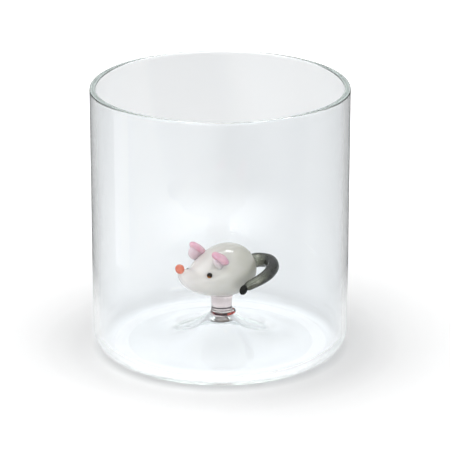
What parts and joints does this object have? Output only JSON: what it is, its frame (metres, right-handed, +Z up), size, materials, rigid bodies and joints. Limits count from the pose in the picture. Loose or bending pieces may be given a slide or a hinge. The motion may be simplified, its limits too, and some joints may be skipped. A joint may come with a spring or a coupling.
{
  "type": "glass tumbler with mouse figurine",
  "caption": "Clear blown-glass drinking tumbler with a small coloured-glass mouse standing on a glass stem fused to the inside of its floor.",
  "frame": {"origin": "centre of the tumbler's underside, on the surface it stands on", "axes": "+Z up along the tumbler's axis; the mouse faces towards -X and -Y, halfway between them"},
  "size_m": [0.08, 0.08, 0.085],
  "materials": {
    "clear_glass": "fire-polished clear borosilicate glass",
    "stem_glass": "clear glass rod with a faint pink cast",
    "ruby_glass": "dark ruby glass with bright red specks",
    "opal_glass": "glossy opal white glass",
    "milky_glass": "translucent milky glass",
    "rose_glass": "glossy opaque rose pink glass",
    "coral_glass": "glossy opaque coral glass",
    "black_glass": "glossy opaque black glass",
    "smoke_glass": "transparent smoke-grey glass rod"
  },
  "bodies": {
    "root": {"tumbler": "clear_glass", "weld_bead": "ruby_glass", "stem": "stem_glass", "mouse_body": "opal_glass", "ear_left": "milky_glass", "ear_right": "milky_glass", "ear_edge_left": "rose_glass", "ear_edge_right": "rose_glass", "nose": "coral_glass", "eye_left": "black_glass", "eye_right": "black_glass", "tail": "smoke_glass", "tail_tip": "black_glass"}
  },
  "joints": []
}
